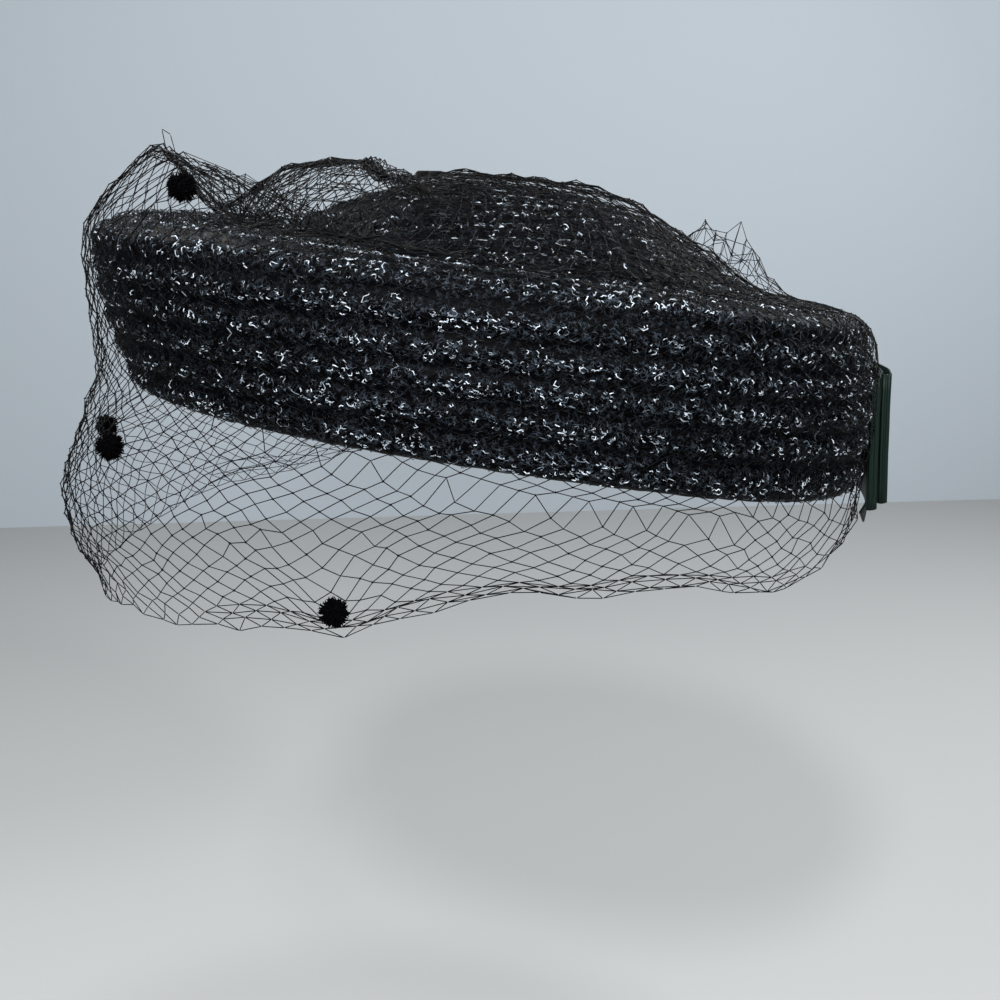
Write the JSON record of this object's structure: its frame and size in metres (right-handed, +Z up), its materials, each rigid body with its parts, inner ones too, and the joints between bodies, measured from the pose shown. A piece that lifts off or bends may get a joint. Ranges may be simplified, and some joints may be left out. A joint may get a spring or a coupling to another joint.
{
  "type": "pillbox hat with net veil",
  "caption": "Black pillbox hat of ribbed straw braid with a raised domed tip, a coarse net veil hanging below the rim, chenille dots and a ribbon bow at the back.",
  "frame": {"origin": "centre of the head opening, in the plane of the rim, where a head holds the hat", "axes": "+Z up, front of the hat towards -Y, wearer's left side at +X; the hat is tipped back nine degrees about X as it is worn"},
  "size_m": [0.219, 0.2472, 0.1207],
  "materials": {
    "straw_braid": "black crinkled glossy straw braid sewn in rows, sharp small highlights",
    "veil_net": "thin stiff black diamond net with small knots",
    "chenille": "matt black tufted chenille",
    "grosgrain": "dark green-black ribbed grosgrain ribbon with a soft sheen"
  },
  "bodies": {
    "root": {"crown": "straw_braid", "veil": "veil_net", "veil_dot_1": "chenille", "veil_dot_2": "chenille", "veil_dot_3": "chenille", "veil_dot_4": "chenille", "bow_loop_outer": "grosgrain", "bow_loop_inner": "grosgrain", "bow_band": "grosgrain", "bow_tail": "grosgrain"}
  },
  "joints": []
}
